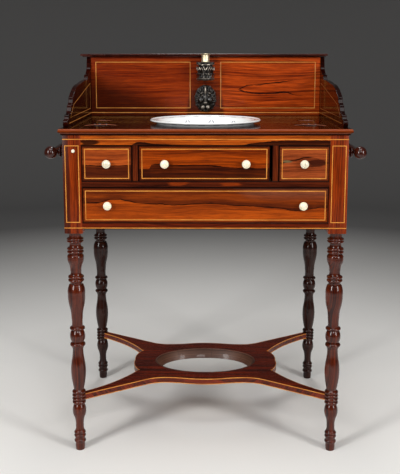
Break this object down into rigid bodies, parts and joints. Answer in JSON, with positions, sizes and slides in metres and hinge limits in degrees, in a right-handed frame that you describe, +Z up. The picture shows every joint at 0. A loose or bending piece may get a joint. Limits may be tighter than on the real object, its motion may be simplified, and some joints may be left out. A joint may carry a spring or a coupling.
{
  "type": "washstand",
  "caption": "Free-standing washstand on turned legs with drawers, a basin let into its wooden top, a gallery with a candle sconce, end towel rails and an X-shaped stretcher.",
  "frame": {"origin": "on the floor, at the middle of the object's bounding box in plan", "axes": "+Z up; the drawer fronts face -Y; +X is to the right as seen from the front"},
  "size_m": [0.791, 0.5756, 1.028],
  "materials": {
    "rosewood": "french polished rosewood veneer with dark figure",
    "top_rosewood": "french polished rosewood, high gloss",
    "gallery_rosewood": "french polished rosewood, high gloss",
    "turned_rosewood": "turned solid rosewood, polished",
    "carcase_oak": "plain unpolished oak",
    "drawer_oak": "planed oak drawer linings",
    "pale_lining": "pale grey brown wood, dry, with upright joints",
    "boxwood": "boxwood line, polished flush",
    "bone": "polished bone or ivory, slightly warm",
    "glazed_china": "white glaze with a faint blue-grey sprig band",
    "dark_bronze": "dark patinated cast bronze, lighter on the high points",
    "nozzle_brass": "polished pale brass",
    "steel": "plain steel screws"
  },
  "bodies": {
    "stand": {"leg_front_left": "turned_rosewood", "leg_front_right": "turned_rosewood", "leg_rear_left": "turned_rosewood", "leg_rear_right": "turned_rosewood", "towel_arms_left": "turned_rosewood", "towel_arms_right": "turned_rosewood", "towel_rail_left": "turned_rosewood", "towel_rail_right": "turned_rosewood", "side_panel_left": "rosewood", "side_panel_right": "rosewood", "top_rail": "rosewood", "mid_rail": "rosewood", "bottom_rail": "rosewood", "partition_left": "rosewood", "partition_right": "rosewood", "back_panel": "carcase_oak", "dust_board": "carcase_oak", "upper_guides": "carcase_oak", "lower_runners": "carcase_oak", "top_board": "top_rosewood", "backboard": "gallery_rosewood", "gallery_side_left": "gallery_rosewood", "gallery_side_right": "gallery_rosewood", "cap_shelf": "gallery_rosewood", "stretcher": "rosewood", "stretcher_lining": "pale_lining", "case_stringing": "boxwood", "gallery_stringing": "boxwood", "stretcher_stringing": "boxwood", "bone_pin": "bone", "sconce_mask": "dark_bronze", "sconce_capital": "dark_bronze", "candle_nozzle": "nozzle_brass", "sconce_screws": "steel"},
    "basin": {"basin": "glazed_china"},
    "left_drawer": {"left_drawer_front": "rosewood", "left_drawer_sides": "drawer_oak", "left_drawer_back": "drawer_oak", "left_drawer_bottom": "drawer_oak", "left_drawer_knob": "bone", "left_drawer_stringing": "boxwood"},
    "centre_drawer": {"centre_drawer_front": "rosewood", "centre_drawer_sides": "drawer_oak", "centre_drawer_back": "drawer_oak", "centre_drawer_bottom": "drawer_oak", "centre_drawer_knobs": "bone", "centre_drawer_stringing": "boxwood"},
    "right_drawer": {"right_drawer_front": "rosewood", "right_drawer_sides": "drawer_oak", "right_drawer_back": "drawer_oak", "right_drawer_bottom": "drawer_oak", "right_drawer_knob": "bone", "right_drawer_stringing": "boxwood"},
    "long_drawer": {"long_drawer_front": "rosewood", "long_drawer_sides": "drawer_oak", "long_drawer_back": "drawer_oak", "long_drawer_bottom": "drawer_oak", "long_drawer_knobs": "bone", "long_drawer_stringing": "boxwood"}
  },
  "joints": [
    {"name": "left_drawer_slide", "type": "slide", "parent": "stand", "child": "left_drawer", "axis": [0, -1, 0], "range_m": [0, 0.36]},
    {"name": "centre_drawer_slide", "type": "slide", "parent": "stand", "child": "centre_drawer", "axis": [0, -1, 0], "range_m": [0, 0.36]},
    {"name": "right_drawer_slide", "type": "slide", "parent": "stand", "child": "right_drawer", "axis": [0, -1, 0], "range_m": [0, 0.36]},
    {"name": "long_drawer_slide", "type": "slide", "parent": "stand", "child": "long_drawer", "axis": [0, -1, 0], "range_m": [0, 0.36]},
    {"name": "basin_lift", "type": "slide", "parent": "stand", "child": "basin", "axis": [0, 0, 1], "range_m": [0, 0.2]}
  ]
}
